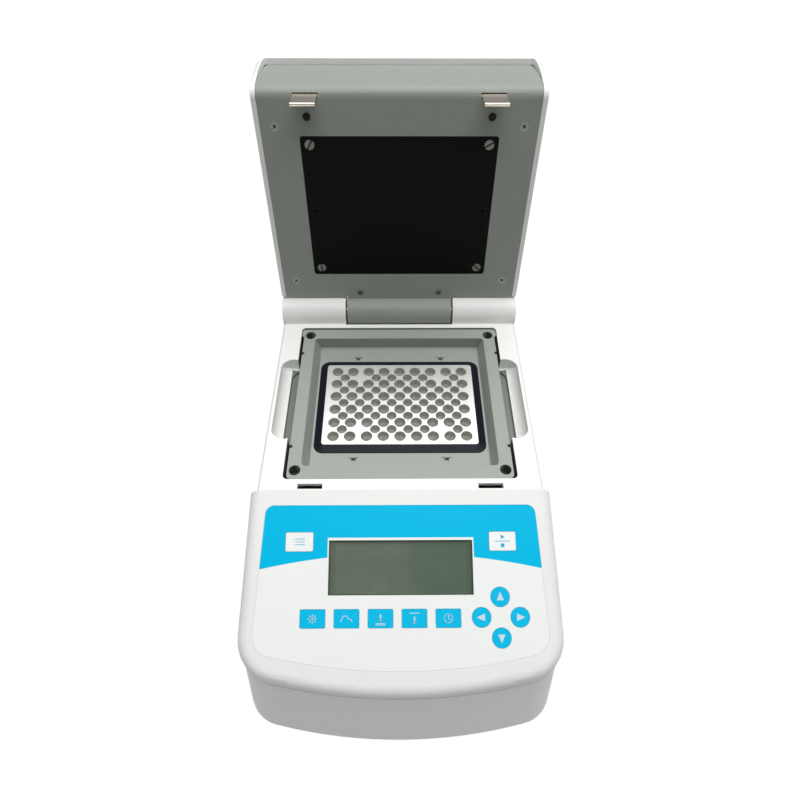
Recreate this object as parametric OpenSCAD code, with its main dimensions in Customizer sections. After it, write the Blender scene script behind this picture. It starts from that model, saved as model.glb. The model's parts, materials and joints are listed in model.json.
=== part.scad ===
// Dry block heater with a heated, latching lid and a sloped control panel.
// Millimetres. X runs to the right, Y to the rear, Z up from the table.
// Inside the modules Y is counted from the middle of the block; in_place() moves the whole
// object so that its origin lies under the middle of its overall depth.

/* [Block and wells] */
// Distance between neighbouring large wells
well_pitch = 11.5; // [10:0.1:14]
// Large wells across
wells_x = 9; // [5:2:11]
// Large wells front to rear
wells_y = 6; // [4:2:8]
// Diameter of a large well, for 0.5 ml tubes
big_well_d = 8; // [6:0.1:9]
// Diameter of a small well, for 0.2 ml tubes
small_well_d = 6.9; // [5:0.1:7.2]
// Depth of the straight part of a large well
big_well_depth = 20; // [12:0.5:26]
// Depth of the straight part of a small well
small_well_depth = 14; // [8:0.5:20]
// Height of the block
block_h = 38; // [34:0.5:42]
// Solid rim of the block outside its wells, left and right
block_rim_side = 3.7; // [2.5:0.1:5]
// Solid rim of the block outside its wells, front and rear
block_rim_end = 2.6; // [2:0.1:5]

/* [Frame round the block] */
// Width of the rubber skirt round the block
seal_w = 5.3; // [4:0.1:7]
// How far the skirt falls from the block to the frame's floor
seal_drop = 2.7; // [1.5:0.1:4]
// Width of the frame's floor between the skirt and the wall, left and right
floor_side = 1.6; // [1:0.1:8]
// Width of the frame's floor between the skirt and the wall, front and rear
floor_end = 15.6; // [8:0.1:20]
// Depth of the frame's recess, from its rim to its floor
frame_depth = 9.8; // [7:0.1:14]
// Lean of the frame's left and right inner walls, over their whole height
frame_lean = 3.8; // [0:0.1:6]
// Width of the frame's rim, left and right
rim_side = 8.7; // [7:0.1:12]
// Width of the frame's rim, front and rear
rim_end = 9.5; // [7:0.1:12]
// Diameter of the screw wells in the frame's corners
corner_hole_d = 7.5; // [6.6:0.1:8]

/* [Body] */
// Height of the deck above the table
deck_h = 111.2; // [104:0.5:135]
// Width of the deck beside the frame's opening
deck_side = 15; // [13:0.5:30]
// How far the front corners stand out beyond the deck, each side
front_out = 8.4; // [7:0.1:20]
// How far the rear corners stand out beyond the deck, each side
rear_out = 1.9; // [1:0.1:6]
// How far the bottom edge stands out from the seam at the front
front_flare = 15.3; // [0:0.1:20]
// How far the bottom edge stands out from the seam at each side
side_flare = 2; // [0:0.1:5]
// Height of the seam between base and cover above the table
seam_h = 57; // [50:0.5:60]
// Length of the deck in front of the frame's opening, up to the panel's ridge
deck_front = 7.8; // [7.5:0.1:20]
// Distance from the frame's opening to the hinge axis
hinge_set = 16.6; // [16:0.1:30]
// How far the panel's ridge stands out beyond the deck, each side
ridge_out = 4.6; // [3:0.1:7]
// Depth of the control panel, front to rear on the flat
panel_depth = 108.6; // [100:0.1:135]
// Height of the panel's front edge above the seam
nose_rise = 5.85; // [5:0.05:12]
// Radius of the panel's outer edges
panel_edge_r = 7.5; // [5:0.5:9]
// Radius of the body's front corners
front_corner_r = 24; // [16:0.5:30]
// Radius of the bow of the body's front
front_bow_r = 370; // [250:5:800]
// Wall of the base and the cover
wall = 2.8; // [2:0.1:3.2]
// Free height under the base
foot_lift = 3; // [2:0.5:8]

/* [Lid] */
// How far the lid stands out beyond the deck, each side
lid_out = 0.2; // [0:0.1:2]
// Width of the lid's white rim, left and right
lid_rim = 3.3; // [2.6:0.1:5]
// Height of the lid from its closing face
lid_h = 34; // [32:0.5:44]
// Gap between the deck and the closed lid
lid_gap = 1; // [0.6:0.1:2]
// How far the lid opens from closed
lid_open = 99.8; // [85:0.1:105]
// Radius of the hinge barrels
barrel_r = 12.1; // [11:0.1:13]
// Height of the hinge axis above the deck
hinge_rise = 2.3; // [1.5:0.1:3]
// Length of the lid's grey knuckle
knuckle_w = 80; // [60:1:100]
// Width of the heated plate
plate_w = 125.6; // [110:0.5:127]
// Depth of the heated plate
plate_d = 97.8; // [80:0.5:100]
// Width of a latch hook
hook_w = 14.6; // [10:0.1:20]
// Distance between the two latch hooks
hook_span = 114.2; // [80:0.5:130]
// How far a latch hook reaches out of the lid
hook_reach = 15.5; // [12:0.5:20]

/* [Keypad] */
// Width of the display's window
display_w = 88; // [70:1:95]
// Height of the display's window, along the panel
display_d = 32.2; // [24:0.1:36]
// Diameter of a round arrow key
arrow_d = 11.4; // [9:0.1:12]
// Distance from the middle of the arrow pad to an arrow key
arrow_ring = 11.6; // [11:0.1:13]
// Travel of a key
key_travel = 0.4; // [0.3:0.05:0.6]
// Thickness of the printed overlay
overlay_t = 0.6; // [0.4:0.1:0.8]

/* [Hidden] */
$fn = 48;

// ---- the block, and what surrounds it ----
block_w = (wells_x - 1) * well_pitch + big_well_d + 2 * block_rim_side;
block_d = (wells_y - 1) * well_pitch + big_well_d + 2 * block_rim_end;
seal_out_w = block_w + 2 * seal_w;
seal_out_d = block_d + 2 * seal_w;
floor_w = seal_out_w + 2 * floor_side;
floor_d = seal_out_d + 2 * floor_end;
frame_w = floor_w + 2 * frame_lean + 2 * rim_side;
frame_d = floor_d + 2 * rim_end;
frame_gap_side = 2;
frame_gap_end = 0.8;
hole_w = frame_w + 2 * frame_gap_side;
hole_d = frame_d + 2 * frame_gap_end;
deck_w = hole_w + 2 * deck_side;
clip_x = wells_x * well_pitch * 0.304;
clip_y = seal_out_d / 2 + 4.1;
notch_y = frame_d / 2 - 24.45;
corner_x = frame_w / 2 - 5;
corner_y = frame_d / 2 - 6.2;

// ---- heights above the table ----
frame_top = deck_h - 1.1;
frame_floor_z = frame_top - frame_depth;
frame_floor_t = 2.4;
frame_bottom = frame_floor_z - frame_floor_t;
block_top = frame_floor_z + seal_drop;
block_bottom = block_top - block_h;
heater_t = 3;
carrier_t = 2.5;
carrier_top = block_bottom - heater_t;
carrier_bottom = carrier_top - carrier_t;
floor_t = 3;
floor_top = foot_lift + floor_t;
seam_gap = 0.6;
cover_bottom = seam_h + seam_gap;
rebate_top = seam_h + 2.2;

// ---- plan of the body ----
ridge_y = -hole_d / 2 - deck_front;
front_y = ridge_y - panel_depth;
hinge_y = hole_d / 2 + hinge_set;
hinge_z = deck_h + hinge_rise;
rear_y = hinge_y + barrel_r;
body_front_w = deck_w + 2 * front_out;
body_rear_w = deck_w + 2 * rear_out;
ridge_w = deck_w + 2 * ridge_out;
panel_slope = atan((deck_h - seam_h - nose_rise) / panel_depth);
rear_corner_r = 8;

// ---- lid, described closed ----
lid_w = deck_w + 2 * lid_out;
lid_z = deck_h + lid_gap;
lid_rear_y = hinge_y - barrel_r - 2.2;
liner_half_w = lid_w / 2 - lid_rim;
liner_t = 2.4;
liner_lip_r = 7;
liner_front_y = ridge_y - 3;
liner_lean = 5;
liner_front_h = 29;
shell_front_y = liner_front_y - liner_lean - 3.6;
shell_edge_r = 6;
shell_t = 3.4;
knuckle_gap = 1.4;
trough_gap = 1.1;
shaft_r = 4;
shaft_l = deck_w - 26.6;
running = 0.05;
bush_r = 6.5;
bush_l = 12;

// ---- the whole object's middle, front to rear, with the lid open ----
top_edge_y = shell_front_y + shell_edge_r - hinge_y;
top_edge_z = lid_z + lid_h - shell_edge_r - hinge_z;
open_rear_y = hinge_y + top_edge_y * cos(lid_open) + top_edge_z * sin(lid_open) + shell_edge_r;
mid_y = (open_rear_y + front_y - front_flare) / 2;

// ---- control panel: x to the right, s down the slope from the ridge ----
panel_len = panel_depth / cos(panel_slope);
overlay_top_s = 9.6;
overlay_bottom_s = panel_len - 13.4;
overlay_top_half = ridge_w / 2 - 10.8;
overlay_bottom_half = body_front_w / 2 - 10.2;
fit_gap = 0.1;
key_gap = 0.2;
key_proud = 0.15;
key_t = 1.15;
key_pocket = key_t - key_proud + key_travel + 0.2;
board_top = -9;
board_t = 1.6;
plunger_top = -4.6;
stem_r = 1.4;
board_x = ridge_w / 2 - 21.2;
board_s = [21, panel_len - 23.9];
display_s = 46.9;
row_s = 76.2;
white_key_s = 31.6;
arrow_s = 75.8;
arrow_x = 59.8;
// Each key: x, s, width, height; a height of 0 is a round key
option_at = [-62.1, white_key_s, 16.8, 11.3];
start_at = [62.6, white_key_s, 16.2, 11.3];
row_pitch = 20.3;
row_middle = -12.2;
function row_key(i) = [row_middle + (i - 2) * row_pitch, row_s, 15, 10.5];
function arrow_key(dx, ds) = [arrow_x + dx * arrow_ring, arrow_s + ds * arrow_ring, arrow_d, 0];
KEYS = [option_at, start_at, row_key(0), row_key(1), row_key(2), row_key(3), row_key(4),
    arrow_key(0, -1), arrow_key(-1, 0), arrow_key(1, 0), arrow_key(0, 1)];

// ---- fasteners ----
cover_boss_r = 4.5;
COVER_SCREWS_RIGHT = [[body_front_w / 2 - 12.5, front_y + 35], [deck_w / 2 - 10.1, rear_y - 13.5]];
cover_screws = [for (x = [-1, 1]) for (p = COVER_SCREWS_RIGHT) [x * p[0], p[1]]];
frame_posts = [for (x = [-1, 1]) for (y = [-1, 1]) [x * corner_x, y * corner_y]];
block_holes = [for (x = [-1, 1]) for (y = [-1, 1])
    [x * (wells_x - 4) / 2 * well_pitch, y * (wells_y - 2) / 2 * well_pitch]];
plate_mid_y = 0.3;
LINER_HOLES_RIGHT = [[liner_half_w - 9, plate_mid_y - plate_d / 2 - 6.1],
    [liner_half_w - 9.3, plate_mid_y + plate_d / 2 + 5.8], [knuckle_w / 2 - 10, lid_rear_y - 2.9]];
liner_holes = [for (x = [-1, 1]) for (p = LINER_HOLES_RIGHT) [x * p[0], p[1]]];
plate_holes = [for (x = [-1, 1]) for (y = [-1, 1])
    [x * (plate_w / 2 - 5.4), plate_mid_y + y * (plate_d / 2 - 5)]];
plate_slots = [-60, 88, -30, 42];
bumpers = [for (x = [-1, 1]) [x * (hook_span / 2 + 0.3), ridge_y + 14]];
feet_at = [for (y = [front_y + 24, rear_y - 24]) for (x = [-1, 1]) [x * (body_rear_w / 2 - 20), y]];
board_holes = [for (x = [-1, 0, 1]) for (s = board_s) [x * board_x, s]];
power_board_w = 110;
power_board_d = 64;
power_board_y = ridge_y - 42;
power_board_z = floor_top + 9;
power_holes = [for (x = [-1, 1]) for (y = [-1, 1])
    [x * (power_board_w / 2 - 4), power_board_y + y * (power_board_d / 2 - 4)]];

// ---- latch: hook and catch, in the deck's front ----
hook_t = 0.8;
hook_roll_r = 1.1;
hook_front_y = ridge_y + 1.05;
hook_roll_y = ridge_y + 3.0;
slot_y = [ridge_y + 0.75, ridge_y + 4.35];
hook_slot_w = hook_w + 1.2;

// ---- finger recesses beside the frame ----
recess_len = 70;
recess_y = -1;
recess_out = deck_w / 2 - 3.3;
recess_in = deck_w / 2 - 9.9;
recess_r = 9;
tub_h = 14;
tub_t = 1.8;

// ---- rear wall ----
inlet_x = -50;
inlet_z = 30;
switch_x = -5;
switch_z = 30;
rocker_tilt = 9;
flange_t = 3;
// x, z, width and height of each blade, from the inlet's middle
INLET_PINS = [[-7, 6.2, 2, 4], [7, 6.2, 2, 4], [0, 10, 2, 4]];

// ================= helpers =================
module in_place() { translate([0, -mid_y, 0]) children(); }

// Turns a lid piece from its closed place to its open one.
module lid_pose() {
    translate([0, hinge_y, hinge_z]) rotate([-lid_open, 0, 0]) translate([0, -hinge_y, -hinge_z])
        children();
}

// Lays a piece on the control panel: y runs up the slope from s = 0, z stands off the panel.
module on_panel() { translate([0, ridge_y, deck_h]) rotate([panel_slope, 0, 0]) children(); }

function arc(cx, cy, r, a0, a1, n) =
    [for (i = [0:n]) let (a = a0 + (a1 - a0) * i / n) [cx + r * cos(a), cy + r * sin(a)]];

// Outline with straight sides, round rear corners, round front corners and a bowed front.
function bowed(front_half, rear_half, front, rear, corner, bow, rear_r, rear_n = 6) =
    let (xc = front_half - corner, yb = front + bow, span = bow - corner,
        yc = yb - sqrt(span * span - xc * xc), t = asin(xc / span))
    concat(arc(rear_half - rear_r, rear - rear_r, rear_r, 0, 90, rear_n),
        arc(rear_r - rear_half, rear - rear_r, rear_r, 90, 180, rear_n),
        arc(-xc, yc, corner, 180, 270 - t, 10),
        arc(0, yb, bow, 270 - t + 0.5, 270 + t - 0.5, 16),
        arc(xc, yc, corner, 270 + t, 360, 10));

// Plan of the body: inset moves every side inwards, side and front let it stand out.
function plan(inset, side = 0, front = 0, rear_n = 6) =
    bowed(body_front_w / 2 + side - inset, body_rear_w / 2 + side - inset, front_y - front + inset,
        rear_y - inset, front_corner_r - inset, front_bow_r - inset, rear_corner_r - inset, rear_n);

module slice(points, z, t = 0.01) { translate([0, 0, z]) linear_extrude(t) polygon(points); }

module slice_between(points, z, y0, y1) {
    translate([0, 0, z]) linear_extrude(0.01) intersection() {
        polygon(points);
        translate([-200, y0]) square([400, y1 - y0]);
    }
}

module rounded(w, d, r) {
    square([w - 2 * r, d], center = true);
    square([w, d - 2 * r], center = true);
    for (x = [-1, 1], y = [-1, 1]) translate([x * (w / 2 - r), y * (d / 2 - r)]) circle(r);
}

module rounded_box(w, d, r, z0, z1) { translate([0, 0, z0]) linear_extrude(z1 - z0) rounded(w, d, r); }

module post(at, r, z0, z1) { translate([at[0], at[1], z0]) cylinder(r = r, h = z1 - z0); }

// A screw with its head down the given way: up = 1 has the head on top.
module screw(at, head_z, tip_z, shank_r, head_r, head_h) {
    up = head_z > tip_z ? 1 : -1;
    translate([at[0], at[1], min(head_z, tip_z)]) cylinder(r = shank_r, h = abs(head_z - tip_z));
    translate([at[0], at[1], up > 0 ? head_z : head_z - head_h]) cylinder(r = head_r, h = head_h);
}

// ================= body =================
module base_outer() {
    hull() {
        slice(plan(1.5, side_flare, front_flare), foot_lift);
        slice(plan(0, side_flare, front_flare), foot_lift + 1.5);
        slice(plan(0), seam_h - 0.01);
    }
}

module base_inner() {
    hull() {
        slice(plan(wall + 1.2, side_flare, front_flare), floor_top);
        slice(plan(wall), seam_h + 0.1);
    }
}

// The lip that locates the cover on the base.
module base_tongue() {
    difference() {
        slice(plan(1.5), seam_h - 0.5, 2.4);
        slice(plan(wall + 0.5), seam_h - 1, 4);
    }
}

module base_shell() color("gainsboro") {
    difference() {
        union() {
            difference() {
                base_outer();
                difference() {
                    base_inner();
                    for (p = cover_screws) post(p, cover_boss_r, foot_lift, seam_h);
                    for (p = frame_posts) post(p, 6, foot_lift, seam_h + 1);
                    for (p = power_holes) post(p, 3.5, foot_lift, power_board_z);
                }
            }
            base_tongue();
            for (p = frame_posts) post(p, 6, seam_h - 1, carrier_bottom);
        }
        for (p = cover_screws) {
            post(p, 3.3, foot_lift - 1, foot_lift + 9);
            post(p, 1.75, foot_lift, seam_h + 1);
        }
        for (p = frame_posts) post(p, 2, carrier_bottom - 22, carrier_bottom + 1);
        for (p = power_holes) post(p, 1.3, power_board_z - 7, power_board_z + 1);
        for (p = feet_at) post(p, 3, foot_lift - 1, floor_top + 1);
        rear_cutouts();
        floor_vents();
    }
}

module rear_cutouts() {
    translate([inlet_x - 13.9, rear_y - 6, inlet_z - 14.2]) cube([27.8, 8, 28.4]);
    for (x = [-20, 20])
        translate([inlet_x + x, rear_y + 1, inlet_z]) rotate([90, 0, 0]) cylinder(r = 1.5, h = 6);
    translate([switch_x - 6.9, rear_y - 6, switch_z - 10.9]) cube([13.8, 8, 21.8]);
    for (i = [0:8]) translate([24 + i * 6, rear_y - 6, inlet_z - 13]) cube([2.6, 8, 26]);
}

module floor_vents() {
    for (i = [0:8]) translate([-26 + i * 6, -12, foot_lift - 1]) cube([2.6, 34, floor_t + 3]);
}

module cover_outer() {
    intersection() {
        panel_body(panel_edge_r, 0);
        translate([-200, ridge_y - 400, cover_bottom]) cube([400, 400, 200]);
    }
    deck_body(0);
    for (x = [-1, 1]) barrel(x);
}

// Every point of the panel's edge carries a ball, so the edge rolls over into the walls.
module panel_body(ball, inset) {
    ring = bowed(body_front_w / 2 - panel_edge_r, ridge_w / 2 - panel_edge_r, front_y + panel_edge_r,
        ridge_y + 12, front_corner_r - panel_edge_r, front_bow_r - panel_edge_r, 0.1);
    hull() {
        for (p = ring) translate([p[0], p[1], panel_ball_z(p[1])]) sphere(ball, $fn = 24);
        slice_between(plan(inset), inset > 0 ? rebate_top : cover_bottom, -400, ridge_y + 2);
    }
}

function panel_ball_z(y) = deck_h - (ridge_y - y) * tan(panel_slope) - panel_edge_r / cos(panel_slope);

module deck_body(inset) {
    half = deck_w / 2 - inset;
    edge = 1.4;
    y0 = ridge_y - (inset > 0 ? 2 : 0);
    hull() {
        translate([-half + edge, y0, deck_h - inset - 0.01])
            cube([2 * half - 2 * edge, rear_y - inset - edge - y0, 0.01]);
        translate([-half, y0, deck_h - inset - edge]) cube([2 * half, rear_y - inset - y0, 0.01]);
        slice_between(plan(inset, rear_n = inset > 0 ? 1 : 6), inset > 0 ? rebate_top : cover_bottom, y0, 400);
    }
}

module barrel(x) {
    x0 = knuckle_w / 2 + knuckle_gap;
    translate([x > 0 ? x0 : -deck_w / 2, hinge_y, hinge_z]) rotate([0, 90, 0])
        cylinder(r = barrel_r, h = deck_w / 2 - x0);
}

module trough(r, extra) {
    half = knuckle_w / 2 + extra;
    translate([-half, hinge_y, hinge_z]) rotate([0, 90, 0]) cylinder(r = r, h = 2 * half);
}

// Scoop in the deck beside the frame, for the finger tips, and the deeper drop along the frame.
module finger_scoop(side) {
    w = recess_out - hole_w / 2 + 6;
    sweep = recess_out - hole_w / 2 - 0.8;
    mirror([side < 0 ? 1 : 0, 0, 0]) {
        intersection() {
            translate([recess_out - w / 2, recess_y, deck_h - 11]) linear_extrude(12)
                rounded(w, recess_len, recess_r);
            translate([recess_out - sweep, recess_y - recess_len, deck_h]) rotate([-90, 0, 0])
                cylinder(r = sweep, h = 2 * recess_len);
        }
        translate([recess_in - recess_r, recess_y - 1, deck_h - tub_h + tub_t]) linear_extrude(tub_h)
            rounded(2 * recess_r, recess_len - 3, recess_r - 0.5);
    }
}

module finger_tub(side) {
    mirror([side < 0 ? 1 : 0, 0, 0])
        translate([hole_w / 2, recess_y - recess_len / 2 - 2, deck_h - tub_h])
            cube([deck_w / 2 - hole_w / 2 - 0.5, recess_len + 4, tub_h]);
}

module top_cover() color("whitesmoke") {
    difference() {
        cover_outer();
        difference() {
            union() {
                intersection() {
                    panel_body(panel_edge_r - wall, wall);
                    translate([-200, ridge_y - 400, 0]) cube([400, 400, 200]);
                }
                deck_body(wall);
            }
            translate([0, 0, deck_h - 14]) linear_extrude(20)
                square([hole_w + 4.4, hole_d + 4.4], center = true);
            for (x = [-1, 1]) {
                barrel(x);
                finger_tub(x);
            }
            trough(barrel_r + trough_gap + 2.2, knuckle_gap + 2);
            for (p = cover_screws) post(p, cover_boss_r, cover_bottom, deck_h);
            for (p = board_holes) on_panel() post([p[0], -p[1]], 3, board_top, 0);
            on_panel() translate([0, -display_s, -wall - 1]) linear_extrude(wall)
                square([display_w + 6, display_d + 6], center = true);
        }
        slice(plan(1.3), cover_bottom - 1, rebate_top - cover_bottom + 1);
        translate([0, 0, deck_h - 20]) linear_extrude(30) rounded(hole_w, hole_d, 3);
        trough(barrel_r + trough_gap, knuckle_gap);
        rotate([0, 90, 0]) translate([-hinge_z, hinge_y, -shaft_l / 2 - 0.2])
            cylinder(r = shaft_r, h = shaft_l + 0.4);
        for (x = [-1, 1]) {
            finger_scoop(x);
            translate([x * hook_span / 2 - hook_slot_w / 2, slot_y[0], deck_h - wall - 1])
                cube([hook_slot_w, slot_y[1] - slot_y[0], wall + 2]);
        }
        for (p = cover_screws) post(p, 1.7, cover_bottom - 1, cover_bottom + 9);
        on_panel() {
            translate([0, 0, -overlay_t]) linear_extrude(1) overlay_outline(fit_gap);
            translate([0, -display_s, -wall - 3]) linear_extrude(wall + 4)
                square([display_w + 0.6, display_d + 0.6], center = true);
            for (k = KEYS) {
                key_prism(k, key_gap, -key_pocket, 1);
                post([k[0], -k[1]], stem_r + 0.2, -wall - 2, 0);
            }
            for (p = board_holes) post([p[0], -p[1]], 1.2, board_top - 0.1, -wall - 0.5);
        }
    }
}

module feet() color("dimgray") {
    for (p = feet_at) {
        translate([p[0], p[1], 0]) cylinder(r1 = 8, r2 = 9, h = foot_lift);
        post(p, 2.95, foot_lift - 0.5, floor_top);
    }
}

module base_screws() color("silver") {
    for (p = cover_screws) screw(p, foot_lift + 9, cover_bottom + 8, 1.65, 3, 2.2);
}

// ================= keypad and display =================
module overlay_outline(gap) {
    polygon(bowed(overlay_bottom_half + gap, overlay_top_half + gap, -overlay_bottom_s - gap,
        -overlay_top_s + gap, 12, front_bow_r, 5.5));
}

module key_shape(k, gap) {
    translate([k[0], -k[1]]) {
        if (k[3] == 0) circle(k[2] / 2 + gap);
        else rounded(k[2] + 2 * gap, k[3] + 2 * gap, 1);
    }
}

module key_prism(k, gap, z0, z1) { translate([0, 0, z0]) linear_extrude(z1 - z0) key_shape(k, gap); }

module keypad_overlay() color("deepskyblue") on_panel() {
    difference() {
        translate([0, 0, -overlay_t]) linear_extrude(overlay_t) overlay_outline(0);
        translate([0, -display_s, -2]) linear_extrude(4) square([display_w, display_d], center = true);
        for (k = KEYS) key_prism(k, key_gap, -2, 2);
    }
}

module display_window() color([0.6, 0.7, 0.68, 0.4]) on_panel()
    translate([0, -display_s, -overlay_t - 1.6]) linear_extrude(1.5)
        square([display_w + 0.3, display_d + 0.3], center = true);

module display_module() color("darkslategray") on_panel() {
    translate([0, -display_s, 0]) {
        translate([0, 0, board_top]) linear_extrude(-board_top - wall - 1.3)
            square([display_w + 5, display_d + 5], center = true);
        translate([0, 0, -wall - 1.4]) linear_extrude(wall + 1.4 - overlay_t - 1.9)
            square([display_w - 0.6, display_d - 0.6], center = true);
    }
}

module control_board() color("seagreen") on_panel() {
    difference() {
        union() {
            translate([0, -(board_s[0] + board_s[1]) / 2, board_top - board_t]) linear_extrude(board_t)
                square([2 * board_x + 7, board_s[1] - board_s[0] + 6], center = true);
            translate([-60, -84, board_top - board_t - 6]) cube([22, 22, 6]);
            translate([-20, -88, board_top - board_t - 9]) cube([40, 8, 9]);
            translate([30, -70, board_top - board_t - 3]) cube([14, 14, 3]);
        }
        for (p = board_holes) post([p[0], -p[1]], 1.35, board_top - 20, board_top + 1);
    }
}

module tact_switches() color("black") on_panel() {
    for (k = KEYS) {
        translate([k[0] - 3, -k[1] - 3, board_top]) cube([6, 6, 3.4]);
        post([k[0], -k[1]], 1.75, board_top + 3, plunger_top);
    }
}

module board_screws() color("silver") on_panel() {
    for (p = board_holes) screw([p[0], -p[1]], board_top - board_t, board_top + 5, 1.15, 2.4, 1.6);
}

module key_cap(k) on_panel() {
    key_prism(k, 0, key_proud - key_t, key_proud);
    post([k[0], -k[1]], stem_r, plunger_top + key_travel + 0.1, key_proud - key_t + 0.1);
}

module option_key() color("white") key_cap(KEYS[0]);
module start_stop_key() color("white") key_cap(KEYS[1]);
module mode_key() color("deepskyblue") key_cap(KEYS[2]);
module program_key() color("deepskyblue") key_cap(KEYS[3]);
module block_temp_key() color("deepskyblue") key_cap(KEYS[4]);
module lid_temp_key() color("deepskyblue") key_cap(KEYS[5]);
module time_key() color("deepskyblue") key_cap(KEYS[6]);
module up_key() color("deepskyblue") key_cap(KEYS[7]);
module left_key() color("deepskyblue") key_cap(KEYS[8]);
module right_key() color("deepskyblue") key_cap(KEYS[9]);
module down_key() color("deepskyblue") key_cap(KEYS[10]);

// ================= block and frame =================
function at_x(i, n) = (i - (n - 1) / 2) * well_pitch;

// The four places over the block's screws stay solid.
function is_screw_place(i, j) = (i == 1 || i == wells_x - 3) && (j == 0 || j == wells_y - 2);

module well(d, depth, cone) {
    translate([0, 0, block_top - depth]) cylinder(r = d / 2, h = depth + 1);
    translate([0, 0, block_top - depth - cone]) cylinder(r1 = d * 0.2, r2 = d / 2, h = cone + 0.001);
}

module well_block() color("gainsboro") {
    difference() {
        rounded_box(block_w, block_d, 2, block_bottom, block_top);
        for (i = [0:wells_x - 1], j = [0:wells_y - 1])
            translate([at_x(i, wells_x), at_x(j, wells_y), 0]) well(big_well_d, big_well_depth, 6.4);
        for (i = [0:wells_x - 2], j = [0:wells_y - 2])
            if (!is_screw_place(i, j)) translate([at_x(i, wells_x - 1), at_x(j, wells_y - 1), 0])
                well(small_well_d, small_well_depth, 6);
        for (p = block_holes) post(p, 2, block_bottom - 1, block_bottom + 12);
        translate([well_pitch, block_d / 2 + 1, block_bottom + 5]) rotate([90, 0, 0])
            cylinder(r = 2.1, h = 28);
    }
}

module block_screws() color("silver") {
    for (p = block_holes) screw(p, carrier_bottom, block_bottom + 10, 1.95, 3.4, 2.6);
}

module block_seal() color([0.06, 0.07, 0.11]) {
    difference() {
        union() {
            hull() {
                rounded_box(seal_out_w, seal_out_d, 6.5, frame_floor_z, frame_floor_z + 0.4);
                rounded_box(block_w + 0.8, block_d + 0.8, 2.4, block_top - 0.3, block_top - 0.2);
            }
            rounded_box(seal_out_w, seal_out_d, 6.5, frame_bottom, frame_floor_z + 0.01);
        }
        rounded_box(block_w + 0.2, block_d + 0.2, 2.1, frame_bottom - 1, block_top + 1);
    }
}

module well_frame() color([0.62, 0.66, 0.62]) {
    lean_w = floor_w / 2 + frame_lean;
    difference() {
        union() {
            rounded_box(frame_w, frame_d, 3, frame_bottom, frame_top);
            translate([0, frame_d / 2 - 4, frame_bottom])
                linear_extrude(frame_depth + frame_floor_t) rounded(hole_w - 0.7, 8, 2.5);
        }
        rounded_box(seal_out_w + 0.5, seal_out_d + 0.5, 6.7, frame_bottom - 1, frame_top);
        intersection() {
            translate([0, floor_d / 2, 0]) rotate([90, 0, 0]) linear_extrude(floor_d)
                polygon([[-floor_w / 2, frame_floor_z], [floor_w / 2, frame_floor_z], [lean_w, frame_top],
                    [lean_w, frame_top + 1], [-lean_w, frame_top + 1], [-lean_w, frame_top]]);
            rounded_box(2 * lean_w, floor_d, 3, frame_floor_z, frame_top + 2);
        }
        for (p = frame_posts) {
            post(p, corner_hole_d / 2, frame_top - 11, frame_top + 1);
            post(p, 2.1, frame_bottom - 1, frame_top);
        }
        for (x = [-1, 1], y = [-1, 1]) {
            translate([x * frame_w / 2 - 1.6, y * notch_y - 1.2, frame_bottom - 1]) cube([3.2, 2.4, 30]);
            translate([x * clip_x - 1.5, y * clip_y - 2.2, frame_bottom - 1]) cube([3, 2.2, 10]);
        }
    }
    for (x = [-1, 1], y = [-1, 1])
        translate([x * clip_x - 3, y * clip_y, frame_floor_z - 0.5]) cube([6, 1.3, 1.3]);
}

module frame_screws() color("dimgray") {
    for (p = frame_posts) difference() {
        screw(p, frame_top - 11, carrier_bottom - 20, 1.95, 3.4, 3);
        translate([p[0], p[1], frame_top - 10]) cylinder(r = 1.6, h = 4, $fn = 6);
    }
}

module block_heater() color("peru") {
    difference() {
        rounded_box(block_w - 4, block_d - 4, 3, carrier_top, block_bottom);
        for (p = block_holes) post(p, 2.3, carrier_top - 1, block_bottom + 1);
    }
}

module block_insulation() color("lightyellow") {
    difference() {
        rounded_box(2 * corner_x - 13, seal_out_d + 12, 3, carrier_top, frame_bottom - 0.3);
        rounded_box(block_w + 0.8, block_d + 0.8, 2, carrier_top - 1, frame_bottom + 1);
    }
}

module block_carrier() color("slategray") {
    difference() {
        union() {
            rounded_box(frame_w - 1, frame_d - 1, 4, carrier_bottom, carrier_top);
            for (p = frame_posts) post(p, 5.2, carrier_bottom, frame_bottom);
        }
        for (p = frame_posts) post(p, 2.1, carrier_bottom - 1, frame_bottom + 1);
        for (p = block_holes) post(p, 2.3, carrier_bottom - 1, carrier_top + 1);
        for (x = [-1, 1]) translate([x * (block_w / 2 + 4) - 1.5, -14, carrier_bottom - 1])
            cube([3, 28, carrier_t + 2]);
    }
}

module block_probe() color("silver")
    translate([well_pitch, block_d / 2, block_bottom + 5]) rotate([90, 0, 0]) cylinder(r = 2, h = 25);

module thermal_cutout() color("black") {
    translate([block_w / 2 - 9, 0, carrier_bottom - 6]) {
        cylinder(r = 8, h = 6);
        for (y = [-1, 1]) translate([-2, y * 4 - 0.4, -6]) cube([4, 0.8, 6.5]);
    }
}

// ================= mains side =================
module power_board() color("darkgreen") {
    difference() {
        union() {
            translate([-power_board_w / 2, power_board_y - power_board_d / 2, power_board_z])
                cube([power_board_w, power_board_d, 1.6]);
            translate([-44, power_board_y - 20, power_board_z]) cube([34, 40, 26]);
            translate([6, power_board_y + 8, power_board_z]) cube([26, 18, 20]);
            for (x = [12, 26]) translate([x, power_board_y - 16, power_board_z]) cylinder(r = 6, h = 22);
            translate([38, power_board_y - 24, power_board_z]) cube([3, 48, 18]);
        }
        for (p = power_holes) post(p, 1.8, power_board_z - 1, power_board_z + 3);
    }
}

module power_board_screws() color("silver") {
    for (p = power_holes) screw(p, power_board_z + 1.6, power_board_z - 6, 1.25, 2.6, 1.8);
}

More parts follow.
